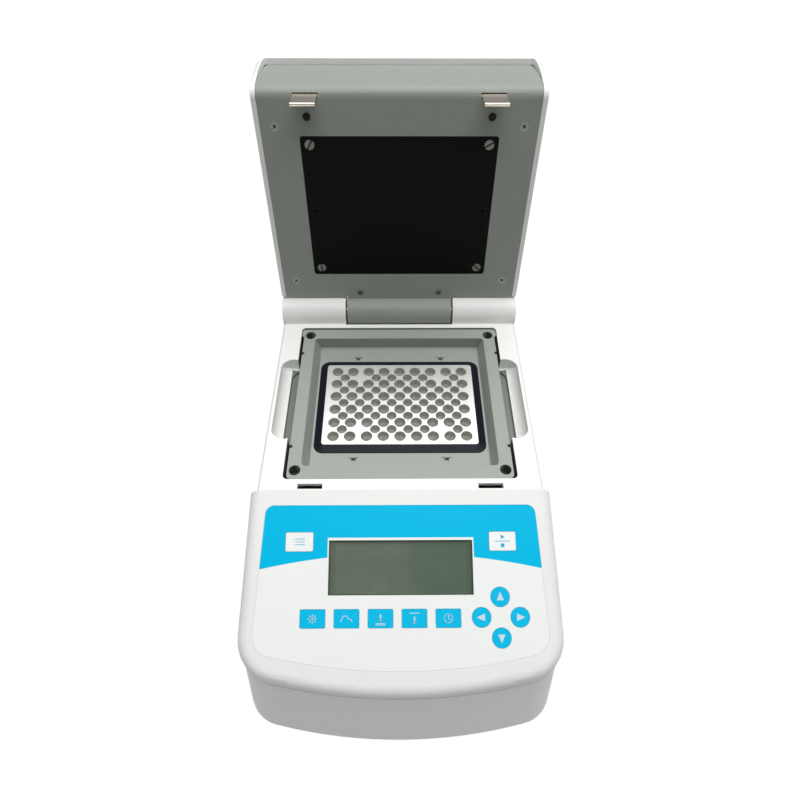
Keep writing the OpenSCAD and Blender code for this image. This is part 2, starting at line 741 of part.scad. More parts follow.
module mains_inlet() color([0.1, 0.1, 0.1]) {
    face = rear_y + flange_t;
    difference() {
        union() {
            translate([inlet_x - 25, rear_y, inlet_z - 15.5]) cube([50, flange_t, 31]);
            translate([inlet_x - 13.7, rear_y - 17, inlet_z - 14]) cube([27.4, 18, 28]);
        }
        translate([inlet_x, face + 1, inlet_z + 5.5]) rotate([90, 0, 0]) linear_extrude(16)
            polygon([[-12, -8.3], [12, -8.3], [12, 4.2], [8, 8.3], [-8, 8.3], [-12, 4.2]]);
        translate([inlet_x - 11.2, face - 17, inlet_z - 12.9]) cube([22.4, 20, 8]);
        for (p = INLET_PINS)
            translate([inlet_x + p[0] - p[2] / 2, rear_y - 18, inlet_z + p[1] - p[3] / 2])
                cube([p[2], 10, p[3]]);
        for (x = [-20, 20]) translate([inlet_x + x, face + 1, inlet_z]) rotate([90, 0, 0]) {
            cylinder(r = 1.7, h = 10);
            translate([0, 0, 0.95]) cylinder(r1 = 4, r2 = 1.7, h = 2.9);
        }
    }
}

module inlet_pins() color("goldenrod") {
    for (p = INLET_PINS)
        translate([inlet_x + p[0] - p[2] / 2, rear_y - 22, inlet_z + p[1] - p[3] / 2])
            cube([p[2], 20, p[3]]);
}

module fuse_drawer() color([0.13, 0.13, 0.13]) {
    difference() {
        translate([inlet_x - 11, rear_y + flange_t - 15, inlet_z - 12.7]) cube([22, 15, 7.6]);
        translate([inlet_x - 4, rear_y + flange_t - 1.2, inlet_z - 12.9]) cube([8, 2, 2.2]);
        for (x = [-6, 6]) translate([inlet_x + x, rear_y - 8, inlet_z - 8.9])
            rotate([90, 0, 0]) cylinder(r = 2.6, h = 30, center = true);
    }
}

module inlet_screws() color("silver") {
    for (x = [-20, 20]) translate([inlet_x + x, rear_y + flange_t + 0.05, inlet_z]) rotate([90, 0, 0]) {
        cylinder(r = 1.45, h = 8.5);
        cylinder(r1 = 3.8, r2 = 1.45, h = 2.7);
    }
}

module switch_housing() color([0.12, 0.12, 0.12]) {
    difference() {
        union() {
            translate([switch_x - 8.5, rear_y, switch_z - 12.5]) cube([17, 2, 25]);
            translate([switch_x - 6.7, rear_y - 14, switch_z - 10.7]) cube([13.4, 15, 21.4]);
        }
        translate([switch_x - 5, rear_y - 6, switch_z - 9.9]) cube([10, 10, 19.8]);
        translate([switch_x - 6, rear_y, switch_z]) rotate([0, 90, 0]) cylinder(r = 1.25, h = 12);
    }
}

module power_rocker() color("firebrick") {
    translate([switch_x, rear_y, switch_z]) rotate([rocker_tilt, 0, 0]) {
        rotate([90, 0, 90]) translate([0, 0, -4.75]) linear_extrude(9.5)
            polygon([[-3, -4], [-3, 4], [0, 8.8], [3.9, 8.8], [2.3, 0], [3.9, -8.8], [0, -8.8]]);
        translate([-5.9, 0, 0]) rotate([0, 90, 0]) cylinder(r = 1.2, h = 11.8);
    }
}

// ================= hinge and latch =================
module latch_catches() color("silver") {
    y0 = -hole_d / 2 - 2.2;
    for (x = [-1, 1])
        translate([x * hook_span / 2 + hook_w / 2, 0, 0]) rotate([0, -90, 0]) linear_extrude(hook_w)
            polygon([[deck_h - 13, y0], [deck_h - 4, y0], [deck_h - 4, y0 - 0.6], [deck_h - 7.6, y0 - 0.6],
                [deck_h - 8.6, y0 - 1.1], [deck_h - 9.6, y0 - 0.6], [deck_h - 13, y0 - 0.6]]);
}

module hinge_shaft() color("silver")
    rotate([0, 90, 0]) translate([-hinge_z, hinge_y, -shaft_l / 2])
        cylinder(r = shaft_r - 0.02, h = shaft_l);

module hinge_bushes() color("ivory") lid_pose() {
    for (x0 = [-knuckle_w / 2, knuckle_w / 2 - bush_l])
        translate([x0, hinge_y, hinge_z]) rotate([0, 90, 0]) difference() {
            cylinder(r = bush_r - 0.02, h = bush_l);
            translate([0, 0, -1]) cylinder(r = shaft_r + running, h = bush_l + 2);
        }
}

// ================= lid, drawn closed =================
// The closed lid as a solid: balls round its top edges, and a roll under its front.
module lid_solid(half_w, inset) {
    r = shell_edge_r - inset;
    lip = liner_lip_r - inset;
    lip_y = liner_front_y + liner_lip_r;
    hull() {
        for (x = [-1, 1], y = [shell_front_y + shell_edge_r, lid_rear_y - shell_edge_r])
            translate([x * (half_w - r), y, lid_z + lid_h - shell_edge_r]) sphere(r, $fn = 32);
        translate([-half_w, lip_y, lid_z + liner_lip_r]) rotate([0, 90, 0])
            cylinder(r = lip, h = 2 * half_w);
        translate([-half_w, lip_y, lid_z - (inset > 0 ? 0.5 : 0)])
            cube([2 * half_w, lid_rear_y - inset - lip_y, 1]);
    }
}

module lid_shell() color("white") lid_pose() {
    difference() {
        lid_solid(lid_w / 2, 0);
        difference() {
            lid_solid(lid_w / 2 - shell_t, shell_t);
            for (p = liner_holes) post(p, 3.2, lid_z, lid_z + lid_h);
            for (p = plate_holes) post(p, 3.4, lid_z + 10, lid_z + lid_h);
        }
        // room for the liner's plate, its front wall and the knuckle's neck
        translate([-liner_half_w - 0.2, shell_front_y - 5, lid_z - 1])
            cube([2 * liner_half_w + 0.4, 300, liner_t + 1.1]);
        intersection() {
            rotate([90, 0, 90]) linear_extrude(2 * liner_half_w + 0.4, center = true)
                polygon([[liner_front_y - 20, lid_z - 1], [liner_front_y + 12, lid_z - 1],
                    [liner_front_y + 12, lid_z + 9],
                    [liner_front_y - liner_lean + 4, lid_z + liner_front_h + 0.2],
                    [liner_front_y - 20, lid_z + liner_front_h + 0.2]]);
            liner_front(0.2);
        }
        translate([-knuckle_w / 2 - 0.5, lid_rear_y - 6, lid_z - 1]) cube([knuckle_w + 1, 20, 10]);
        for (p = liner_holes) post(p, 1.25, lid_z, lid_z + 14);
        for (p = plate_holes) post(p, 1.3, lid_z, lid_z + 20);
    }
}

// Outline of the liner seen from the front: its sides draw in towards the top edge.
// Each point: how far the side draws in, and its height above the lid's closing face.
LINER_SIDE = [[0, -3], [0, 6], [0.2, 12], [0.6, 17], [1.2, 21.4], [2, 25], [3.1, 27.6],
    [4.6, liner_front_h]];

module liner_front(gap) {
    edge = [for (p = LINER_SIDE)
        [liner_half_w + gap - p[0], lid_z + p[1] + (p[1] == liner_front_h ? gap : 0)]];
    translate([0, hinge_y + 20, 0]) rotate([90, 0, 0]) linear_extrude(200)
        polygon(concat(edge, [for (i = [len(edge) - 1:-1:0]) [-edge[i][0], edge[i][1]]]));
}

// Section of the liner (y, z): its plate and the front wall that rolls up from it.
function liner_section(t) =
    let (cy = liner_front_y + liner_lip_r, cz = lid_z + liner_lip_r, tip_y = liner_front_y - liner_lean)
    concat([[lid_rear_y, lid_z]], arc(cy, cz, liner_lip_r, 270, 192, 8),
        [[tip_y, lid_z + liner_front_h]], [[tip_y + t, lid_z + liner_front_h]],
        arc(cy, cz, liner_lip_r - t, 192, 270, 8), [[lid_rear_y, lid_z + t]]);

module lid_liner() color([0.5, 0.53, 0.5]) lid_pose() {
    difference() {
        union() {
            intersection() {
                rotate([90, 0, 90]) linear_extrude(2 * liner_half_w, center = true)
                    polygon(liner_section(liner_t));
                liner_front(0);
            }
            translate([-knuckle_w / 2, lid_rear_y - 5.5, lid_z])
                cube([knuckle_w, hinge_y - lid_rear_y + 5.5, 8]);
            rotate([0, 90, 0]) translate([-hinge_z, hinge_y, -knuckle_w / 2])
                cylinder(r = barrel_r, h = knuckle_w);
        }
        rotate([0, 90, 0]) translate([-hinge_z, hinge_y, -knuckle_w / 2 - 1])
            cylinder(r = bush_r, h = knuckle_w + 2);
        translate([0, plate_mid_y, lid_z - 1]) linear_extrude(liner_t + 2)
            rounded(plate_w + 0.8, plate_d + 0.8, 2);
        for (p = liner_holes) {
            post(p, 1.5, lid_z - 1, lid_z + 9);
            translate([p[0], p[1], lid_z - 0.01]) cylinder(r1 = 2.95, r2 = 1.5, h = 1.5);
        }
        for (p = bumpers) post(p, 1.5, lid_z - 1, lid_z + 5);
        for (x = [-1, 1])
            translate([x * hook_span / 2 - hook_w / 2 - 0.4, hook_front_y - 0.5, lid_z - 1])
                cube([hook_w + 0.8, 3.4, 5.6]);
    }
}

module hot_plate() color([0.07, 0.07, 0.07]) lid_pose() {
    difference() {
        translate([0, plate_mid_y, lid_z]) linear_extrude(3) rounded(plate_w, plate_d, 1.8);
        for (p = plate_holes) {
            post(p, 1.7, lid_z - 1, lid_z + 4);
            post(p, 3.3, lid_z - 1, lid_z + 1.4);
        }
        for (x = [-1, 1]) post([x * (plate_w / 2 - 5.4), plate_mid_y], 0.9, lid_z - 1, lid_z + 2);
    }
}

module plate_screws() color("silver") lid_pose() {
    for (i = [0:3]) difference() {
        screw(plate_holes[i], lid_z + 1.4, lid_z + 18, 1.25, 3.1, 1.3);
        translate([plate_holes[i][0], plate_holes[i][1], lid_z]) rotate([0, 0, plate_slots[i]])
            cube([8, 0.9, 1.6], center = true);
    }
}

module plate_pads() color("indianred") lid_pose() {
    for (p = plate_holes) difference() {
        post(p, 3, lid_z + 3, lid_z + 10);
        post(p, 1.5, lid_z + 2, lid_z + 11);
    }
}

module lid_heater() color("chocolate") lid_pose() {
    translate([0, plate_mid_y, lid_z + 3]) linear_extrude(1.2) rounded(plate_w - 24, plate_d - 6, 3);
}

module lid_insulation() color("lightyellow") lid_pose() {
    translate([0, plate_mid_y, lid_z + 4.2]) linear_extrude(8) rounded(plate_w - 24, plate_d - 6, 3);
}

module latch_hooks() color("silver") lid_pose() {
    top = lid_z + liner_t;
    roll_z = lid_z - hook_reach + hook_roll_r;
    for (x = [-1, 1])
        translate([x * hook_span / 2 + hook_w / 2, 0, 0]) rotate([0, -90, 0]) linear_extrude(hook_w) {
            polygon([[top, hook_front_y + 9], [top, hook_front_y + hook_t], [lid_z, hook_front_y + hook_t],
                [roll_z, hook_roll_y], [roll_z, hook_roll_y - hook_t], [lid_z, hook_front_y],
                [top + hook_t, hook_front_y], [top + hook_t, hook_front_y + 9]]);
            translate([roll_z, hook_roll_y]) circle(hook_roll_r);
        }
}

module liner_screws() color("dimgray") lid_pose() {
    for (p = liner_holes) difference() {
        union() {
            post(p, 1.2, lid_z + 0.1, lid_z + 13);
            translate([p[0], p[1], lid_z + 0.15]) cylinder(r1 = 2.75, r2 = 1.2, h = 1.4);
        }
        for (a = [35, 125]) translate([p[0], p[1], lid_z + 0.2]) rotate([0, 0, a])
            cube([2.9, 0.65, 1.6], center = true);
    }
}

module lid_bumpers() color([0.06, 0.06, 0.06]) lid_pose() {
    for (p = bumpers) {
        translate([p[0], p[1], lid_z - 1.7]) cylinder(r1 = 1.9, r2 = 2.4, h = 1.7);
        post(p, 1.45, lid_z - 0.5, lid_z + 4);
    }
}

in_place() base_shell();
in_place() top_cover();
in_place() feet();
in_place() base_screws();
in_place() keypad_overlay();
in_place() display_window();
in_place() display_module();
in_place() control_board();
in_place() tact_switches();
in_place() board_screws();
in_place() well_block();
in_place() block_screws();
in_place() block_seal();
in_place() well_frame();
in_place() frame_screws();
in_place() block_heater();
in_place() block_insulation();
in_place() block_carrier();
in_place() block_probe();
in_place() thermal_cutout();
in_place() power_board();
in_place() power_board_screws();
in_place() mains_inlet();
in_place() inlet_pins();
in_place() fuse_drawer();
in_place() inlet_screws();
in_place() switch_housing();
in_place() power_rocker();
in_place() latch_catches();
in_place() hinge_shaft();
in_place() lid_shell();
in_place() lid_liner();
in_place() hot_plate();
in_place() plate_screws();
in_place() plate_pads();
in_place() lid_heater();
in_place() lid_insulation();
in_place() latch_hooks();
in_place() liner_screws();
in_place() lid_bumpers();
in_place() hinge_bushes();
in_place() option_key();
in_place() start_stop_key();
in_place() mode_key();
in_place() program_key();
in_place() block_temp_key();
in_place() lid_temp_key();
in_place() time_key();
in_place() up_key();
in_place() left_key();
in_place() right_key();
in_place() down_key();
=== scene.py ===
"""Looks of a bench dry block heater: finishes, printed marks, light and camera."""

import json
import math

import bmesh
import bpy
import numpy as np
from mathutils import Matrix, Vector


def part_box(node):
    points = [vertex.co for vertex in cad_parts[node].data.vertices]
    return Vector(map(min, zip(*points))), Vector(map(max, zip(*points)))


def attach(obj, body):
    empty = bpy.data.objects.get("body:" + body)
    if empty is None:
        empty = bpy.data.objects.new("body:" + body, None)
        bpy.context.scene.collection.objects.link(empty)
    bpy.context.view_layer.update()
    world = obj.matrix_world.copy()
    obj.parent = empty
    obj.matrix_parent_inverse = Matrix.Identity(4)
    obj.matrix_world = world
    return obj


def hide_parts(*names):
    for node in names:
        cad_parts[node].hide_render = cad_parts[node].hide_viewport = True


bl_info = {
    "name": "Dry block heater",
    "version": (1, 0, 0),
    "blender": (4, 5, 0),
    "location": "3D View > Sidebar > Block Heater",
    "description": "Finishes and small printed parts for a bench dry block heater",
    "category": "Object",
}

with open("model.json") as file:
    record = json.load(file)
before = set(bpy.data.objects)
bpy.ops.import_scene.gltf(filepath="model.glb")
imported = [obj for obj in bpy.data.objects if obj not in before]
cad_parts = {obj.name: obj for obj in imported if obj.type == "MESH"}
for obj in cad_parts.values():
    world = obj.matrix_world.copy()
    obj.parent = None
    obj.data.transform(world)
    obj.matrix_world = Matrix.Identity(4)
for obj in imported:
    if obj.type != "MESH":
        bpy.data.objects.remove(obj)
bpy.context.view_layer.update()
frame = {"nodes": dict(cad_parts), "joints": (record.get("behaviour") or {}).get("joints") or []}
NODES = frame["nodes"]
MM = 0.001

# sizes of the body, in metres
SEAM = 0.057              # height of the base's rim
SEAM_GAP = 0.0006         # between the rims of the base and the cover
FRAME_SUNK = 0.0011       # the frame lies this much under the deck
HOLE_HALF = 0.0753        # half the width of the deck's opening
HOLE_PAST_FRAME = 0.0018  # the opening goes on this much beyond the frame's ends
RECESS_HALF = 0.0805      # from the middle to the outer side of a finger recess
RECESS_FORWARD = 0.002    # the recesses lie this much before the frame's middle
RECESS_HALF_LENGTH = 0.034
RECESS_DEPTH = 0.0098
WELL_FROM_SIDE = 0.005    # from the frame's side to the middle of a screw well
WELL_FROM_END = 0.0062    # from the frame's end to the middle of a screw well
WELL_RADIUS = 0.0042
FILM_FROM_RIDGE = 0.0096  # down the panel from its ridge to the keypad film
SWOOSH_BEND = 0.8         # the larger, the flatter the lower edge of the cyan print

CYAN_KEYS = ("mode_key", "program_key", "block_temp_key", "lid_temp_key", "time_key",
    "up_key", "left_key", "right_key", "down_key")
WHITE_KEYS = ("option_key", "start_stop_key")

# the camera: where it stands, and how far it looks down, turns and leans, in degrees
CAMERA_PLACE = (-0.002557, -0.216413, 0.42836)
CAMERA_PITCH, CAMERA_YAW, CAMERA_ROLL = 52.877, 0.647, 0.375


# ---------------------------------------------------------------- colours
def linear(red, green, blue):
    """Linear colour of three display values from 0 to 255."""
    def one(value):
        value /= 255
        return value / 12.92 if value <= 0.04045 else ((value + 0.055) / 1.055) ** 2.4
    return one(red), one(green), one(blue)


def colour(name, what, display):
    """A colour property, whose default is given as display values."""
    return bpy.props.FloatVectorProperty(
        name=name, description=what, default=linear(*display), size=3, min=0, max=1, subtype="COLOR")


class HeaterColours(bpy.types.PropertyGroup):
    shell: colour("Shell", "Moulded shells of the base, the cover and the lid", (246, 247, 244))
    liner: colour("Lid liner", "Grey liner and knuckle of the lid", (150, 156, 149))
    frame: colour("Tray frame", "Grey frame round the block", (157, 164, 156))
    cyan: colour("Cyan print", "Cyan of the keypad film and its keys", (0, 196, 241))
    film: colour("White print", "White of the keypad film and its keys", (252, 254, 252))
    mark: colour("Key marks", "Pale marks printed on the cyan keys", (214, 232, 244))
    display: colour("Display", "Liquid crystal behind the window", (128, 140, 122))
    block: colour("Block", "Bead-blasted block", (216, 217, 215))
    plate: colour("Lid plate", "Black anodised plate of the lid", (9, 9, 8))
    seal: colour("Seal", "Rubber skirt round the block", (13, 15, 28))


class HeaterSizes(bpy.types.PropertyGroup):
    grain: bpy.props.FloatProperty(
        name="Moulded grain", description="Size of the grain on moulded plastic", default=0.0005,
        min=0.0001, max=0.005, subtype="DISTANCE", unit="LENGTH")
    stroke: bpy.props.FloatProperty(
        name="Mark stroke", description="Width of a line printed on a key", default=0.00042,
        min=0.0001, max=0.002, subtype="DISTANCE", unit="LENGTH")
    ink: bpy.props.FloatProperty(
        name="Ink thickness", description="Height of the printed marks over the key", default=0.00004,
        min=0.00001, max=0.0005, subtype="DISTANCE", unit="LENGTH")
    swoosh: bpy.props.FloatProperty(
        name="Cyan edge", default=0.0388, min=0.02, max=0.06, subtype="DISTANCE", unit="LENGTH",
        description="Lower end of the cyan print on the middle line, from the panel's ridge")
    seam_drop: bpy.props.FloatProperty(
        name="Seam drop", description="How far the parting line lies under the shells' rims",
        default=0.003, min=0, max=0.006, subtype="DISTANCE", unit="LENGTH")
    smooth: bpy.props.FloatProperty(
        name="Smooth angle", description="Edges flatter than this are shaded round",
        default=math.radians(32), min=0, max=math.pi, subtype="ANGLE", unit="ROTATION")


class StageSettings(bpy.types.PropertyGroup):
    overhead: bpy.props.FloatProperty(
        name="Overhead lamp", description="Power of the large lamp over the object",
        default=27.0, min=0, subtype="POWER", unit="POWER")
    sky: bpy.props.FloatProperty(
        name="Room light", description="Strength of the even light from all round", default=0.25, min=0)
    floor: colour("Floor", "Floor under the object", (150, 150, 150))
    lens: bpy.props.FloatProperty(
        name="Lens", description="Focal length of the camera", default=25.48, min=10, max=200,
        subtype="DISTANCE_CAMERA", unit="CAMERA")


def colours():
    return bpy.context.scene.heater_colours


def sizes():
    return bpy.context.scene.heater_sizes


# ---------------------------------------------------------------- shader maths
class Field:
    """A shader value: Python's operators add the Math nodes."""

    def __init__(self, finish, socket):
        self.finish = finish
        self.socket = socket

    def _math(self, operation, *others):
        values = {i: v for i, v in enumerate((self, *others))}
        return self.finish.value("ShaderNodeMath", {"operation": operation}, values)

    def __add__(self, other):
        return self._math("ADD", other)

    __radd__ = __add__

    def __sub__(self, other):
        return self._math("SUBTRACT", other)

    def __rsub__(self, other):
        return (self * -1)._math("ADD", other)

    def __mul__(self, other):
        return self._math("MULTIPLY", other)

    __rmul__ = __mul__

    def __truediv__(self, other):
        return self._math("DIVIDE", other)

    def over(self, limit, soft=0.0001):
        """1 where the value is above the limit, 0 below, with a soft step."""
        return self.finish.value("ShaderNodeMapRange", {"interpolation_type": "SMOOTHSTEP"}, {
            "Value": self, "From Min": limit - soft, "From Max": limit + soft})

    def size(self):
        return self._math("ABSOLUTE")

    def most(self, other):
        return self._math("MAXIMUM", other)


class Nodes:
    """A node tree: one method makes each of its nodes."""

    def __init__(self, tree):
        self.tree = tree

    def node(self, kind, settings=None, values=None):
        """A node of the kind, with its settings, and the values or links of its sockets."""
        node = self.tree.nodes.new(kind)
        for key, setting in (settings or {}).items():
            setattr(node, key, setting)
        for key, value in (values or {}).items():
            self.feed(node.inputs[key], value)
        return node

    def feed(self, socket, value):
        """Links the socket to a Field or another socket, or sets its number or colour."""
        if isinstance(value, Field):
            value = value.socket
        if isinstance(value, bpy.types.NodeSocket):
            self.tree.links.new(value, socket)
        elif socket.type == "RGBA" and len(value) == 3:
            socket.default_value = (*value, 1)
        else:
            socket.default_value = value

    def value(self, kind, settings=None, values=None, output=0):
        return Field(self, self.node(kind, settings, values).outputs[output])


class Finish(Nodes):
    """One material, made round its Principled shader."""

    def __init__(self, name, **plain):
        self.material = bpy.data.materials.new(name)
        self.material.use_nodes = True
        super().__init__(self.material.node_tree)
        self.shader = self.tree.nodes["Principled BSDF"]
        self.where = self.node("ShaderNodeTexCoord").outputs["Object"]
        self.set(**plain)

    def set(self, **inputs):
        """Feeds sockets of the shader, named with _ for each space."""
        for key, value in inputs.items():
            self.feed(self.shader.inputs[key.replace("_", " ")], value)
        return self

    def axes(self):
        """The three object coordinates, in metres of the row frame."""
        split = self.node("ShaderNodeSeparateXYZ", None, {"Vector": self.where})
        return [Field(self, split.outputs[i]) for i in range(3)]

    def noise(self, size, detail=2, stretch=(1, 1, 1)):
        """Cloudy value from 0 to 1, with spots of about the size."""
        place = self.node("ShaderNodeMapping", None, {"Vector": self.where, "Scale": stretch})
        return self.value("ShaderNodeTexNoise", None, {
            "Vector": place.outputs[0], "Scale": 1 / size, "Detail": detail})

    def blend(self, mask, below, above):
        """Colour: below where the mask is 0, above where it is 1."""
        mix = self.node("ShaderNodeMix", {"data_type": "RGBA"}, {0: mask, 6: below, 7: above})
        return mix.outputs[2]

    def stain(self, mask, tone):
        """Lays the tone over the base colour where the mask is 1."""
        under = self.shader.inputs["Base Color"].links[0].from_socket
        return self.set(Base_Color=self.blend(mask, under, tone))

    def bump(self, height, strength, distance):
        """Raises the normal by a height from 0 to 1, which stands for the distance in metres."""
        node = self.node("ShaderNodeBump", None, {
            "Height": height, "Strength": strength, "Distance": distance})
        return self.set(Normal=node.outputs[0])


def shade(tone, factor):
    """The tone made darker or lighter."""
    return tuple(min(1, c * factor) for c in tone)


def moulded(name, tone, roughness, grain, strength, mottle=0.03, dust=0.0):
    """Moulded plastic: fine grain, uneven gloss and a very slight mottle."""
    finish = Finish(name, IOR=1.5)
    cloud = finish.noise(0.03, 3)
    fine = finish.noise(grain, 2)
    scuff = finish.noise(0.006, 4, (1, 1, 3)).over(0.62, 0.08)
    body = finish.blend(cloud, shade(tone, 1 - mottle), shade(tone, 1 + mottle / 2))
    if dust:
        body = finish.blend(scuff * dust, body, shade(tone, 0.82))
    finish.set(Base_Color=body, Roughness=roughness + (cloud - 0.5) * 0.12 + scuff * 0.05)
    return finish.bump(fine, strength, 0.0001)


def metal(name, tone, roughness, grain=0.0004, strength=0.1, stretch=(1, 1, 1)):
    """Metal with a blasted or brushed surface."""
    finish = Finish(name, Metallic=1)
    fine = finish.noise(grain, 3, stretch)
    cloud = finish.noise(0.012, 3)
    finish.set(Base_Color=finish.blend(cloud, shade(tone, 0.93), shade(tone, 1.03)),
        Roughness=roughness + (fine - 0.5) * 0.14 + (cloud - 0.5) * 0.08)
    return finish.bump(fine, strength, 0.00006)


def rubber(name, tone, roughness=0.62, grain=0.0006):
    """Matt rubber with a soft grain and patches of bloom."""
    finish = Finish(name, IOR=1.45, Specular_IOR_Level=0.25)
    fine = finish.noise(grain, 3)
    cloud = finish.noise(0.01, 3)
    finish.set(Base_Color=finish.blend(cloud, tone, shade(tone, 1.5)),
        Roughness=roughness + (cloud - 0.5) * 0.2)
    return finish.bump(fine, 0.25, 0.0001)


def points_of(node):
    """The points of a CAD node, as rows of x, y and z."""
    return np.array([vertex.co for vertex in NODES[node].data.vertices])


def beside(finish, node):
    """How far a point lies outside the sides and the ends of a node's box; inside it is negative."""
    low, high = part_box(node)
    x, y = finish.axes()[:2]
    sides = (x - (low.x + high.x) / 2).size() - (high.x - low.x) / 2
    ends = (y - (low.y + high.y) / 2).size() - (high.y - low.y) / 2
    return sides, ends


def sunk_shade(finish, node, step):
    """Painted shade in a screw's head: 1 where a screw of the lid lies deeper than the step under the
    front of its head.
    """
    plate = points_of("hot_plate")
    normal = np.linalg.svd(plate - plate.mean(0))[2][-1]
    normal = normal * -np.sign(normal[1])
    front = (points_of(node) @ normal).max()
    right, back, up = [float(part) for part in normal]
    x, y, z = finish.axes()
    return (front - (x * right + y * back + z * up)).over(step, step / 3)


def dress(finish, *names):
    """Gives the finish to CAD nodes."""
    for name in names:
        slots = NODES[name].material_slots
        if not slots:
            NODES[name].data.materials.append(finish.material)
        for slot in slots:
            slot.material = finish.material


# ---------------------------------------------------------------- meshes
def piece(name, mesh, body, finish):
    """A new object that rides on a body."""
    made = bpy.data.objects.new(name, mesh)
    bpy.context.scene.collection.objects.link(made)
    made.data.materials.clear()
    made.data.materials.append(finish.material)
    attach(made, body)
    return made


def rounded_copy(node, body, finish):
    """Stands for a CAD shell: the same shape, welded, with its curved faces shaded round."""
    source = NODES[node].data
    work = bmesh.new()
    work.from_mesh(source)
    bmesh.ops.remove_doubles(work, verts=work.verts, dist=0.000002)
    limit = sizes().smooth
    for face in work.faces:
        face.smooth = True
    for edge in work.edges:
        faces = edge.link_faces
        edge.smooth = len(faces) == 2 and faces[0].normal.angle(faces[1].normal, 0) < limit
    mesh = bpy.data.meshes.new(node + "_skin")
    work.to_mesh(mesh)
    work.free()
    made = piece(node + "_skin", mesh, body, finish)
    weighted = made.modifiers.new("even shading", "WEIGHTED_NORMAL")
    weighted.keep_sharp = True
    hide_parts(node)
    return made


class Ink:
    """Flat shapes in one plane, in millimetres, that become one thin piece."""

    def __init__(self, place, name, body, slot, finish):
        self.place = place
        self.becomes = name, body, slot, finish
        self.mesh = bmesh.new()

    def outline(self, points):
        """A flat shape with the points round its edge."""
        low, high = [[self.mesh.verts.new(self.place @ Vector((x * MM, y * MM, z))) for x, y in points]
            for z in (0, sizes().ink)]
        self.mesh.faces.new(high)
        self.mesh.faces.new(low[::-1])
        for i in range(len(points)):
            j = (i + 1) % len(points)
            self.mesh.faces.new((low[i], low[j], high[j], high[i]))
        return self

    def disc(self, x, y, radius, count=28):
        turns = [2 * math.pi * i / count for i in range(count)]
        return self.outline([(x + radius * math.cos(a), y + radius * math.sin(a)) for a in turns])

    def line(self, *points):
        """A stroke with round ends and joints along the points."""
        half = sizes().stroke / 2 / MM
        for (x0, y0), (x1, y1) in zip(points, points[1:]):
            along = math.atan2(y1 - y0, x1 - x0)
            start = [along + math.pi / 2 + math.pi * i / 6 for i in range(7)]
            end = [along - math.pi / 2 + math.pi * i / 6 for i in range(7)]
            self.outline([(x0 + half * math.cos(a), y0 + half * math.sin(a)) for a in start]
                + [(x1 + half * math.cos(a), y1 + half * math.sin(a)) for a in end])
        return self

    def ring(self, x, y, radius, start=0.0, end=2 * math.pi, count=30):
        """A stroke round a circle, or round a part of it."""
        turns = [start + (end - start) * i / count for i in range(count + 1)]
        return self.line(*[(x + radius * math.cos(a), y + radius * math.sin(a)) for a in turns])

    def make(self):
        name = self.becomes[0]
        mesh = bpy.data.meshes.new(name)
        bmesh.ops.recalc_face_normals(self.mesh, faces=self.mesh.faces)
        self.mesh.to_mesh(mesh)
        self.mesh.free()
        body, slot, finish = self.becomes[1:]
        return piece(name, mesh, body, finish)


def joint_of(body):
    """The joint that moves a body."""
    for joint in frame["joints"]:
        if joint["child"] == body:
            return joint
    raise RuntimeError("no joint moves " + body)


def cap_place(node, body):
    """Frame on the middle of a key's cap: x to the right, y up the panel, z off it."""
    off = -Vector(joint_of(body)["axis"])
    up = off.cross(Vector((1, 0, 0)))
    points = points_of(node)
    height = points @ np.array(off)
    top = points[height > height.max() - 0.00002]
    low, high = top.min(0), top.max(0)
    middle = Vector((low + high) / 2)
    return Matrix.Translation(middle) @ Matrix((Vector((1, 0, 0)), up, off)).transposed().to_4x4()


# ---------------------------------------------------------------- operators
class HEATER_OT_shells(bpy.types.Operator):
    """Finish the white shells of the base, the cover and the lid"""
    bl_idname = "heater.shells"
    bl_label = "White Shells"

    def execute(self, context):
        tone = tuple(colours().shell)
        finish = moulded("white_moulded", tone, 0.42, sizes().grain, 0.12, mottle=0.02, dust=0.12)
        # painted shade: the seam gap, the deck's opening and the recess floors are stained dark
        finish.stain(self.seam(finish).most(self.shadows(finish)), linear(30, 40, 32))
        for node, rim in (("base_shell", SEAM), ("top_cover", SEAM + SEAM_GAP)):
            self.lower_rim(rounded_copy(node, "body", finish), rim)
        rounded_copy("lid_shell", "lid", finish)
        return {"FINISHED"}

    def seam(self, finish):
        """Painted shade: a dark line in the gap between the rims of the base and the cover."""
        height = finish.axes()[2]
        middle = SEAM + SEAM_GAP / 2 - sizes().seam_drop
        line = 1 - (height - middle).size().over(SEAM_GAP * 0.7, 0.00008)
        return line * 0.7

    def shadows(self, finish):
        """Painted shade in the deck's opening round the frame, and on the floors of the two finger
        recesses.
        """
        low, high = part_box("well_frame")
        x, y, z = finish.axes()
        across = x.size()
        along = y - (low.y + high.y) / 2
        ends = beside(finish, "well_frame")[1]
        down = high.z + FRAME_SUNK - z
        near = 1 - down.over(0.03, 0.001)
        beside_hole = across.over(HOLE_HALF).most(ends.over(HOLE_PAST_FRAME))
        gap = (1 - beside_hole) * down.over(0.0006, 0.0002)
        past_ends = (along + RECESS_FORWARD).size().over(RECESS_HALF_LENGTH)
        beside_floor = across.over(RECESS_HALF).most(past_ends)
        floor = (1 - beside_floor) * down.over(RECESS_DEPTH, 0.0003)
        # painted shade on the opening's walls and the recess floors, fading out 30 mm under the deck
        return (gap * near * 0.85).most(floor * near * 0.82)

    def lower_rim(self, made, rim):
        """Moves the rim of a shell down, so that the parting line is clear of the rolled edge."""
        for vertex in made.data.vertices:
            if abs(vertex.co.z - rim) < 0.00002:
                vertex.co.z -= sizes().seam_drop


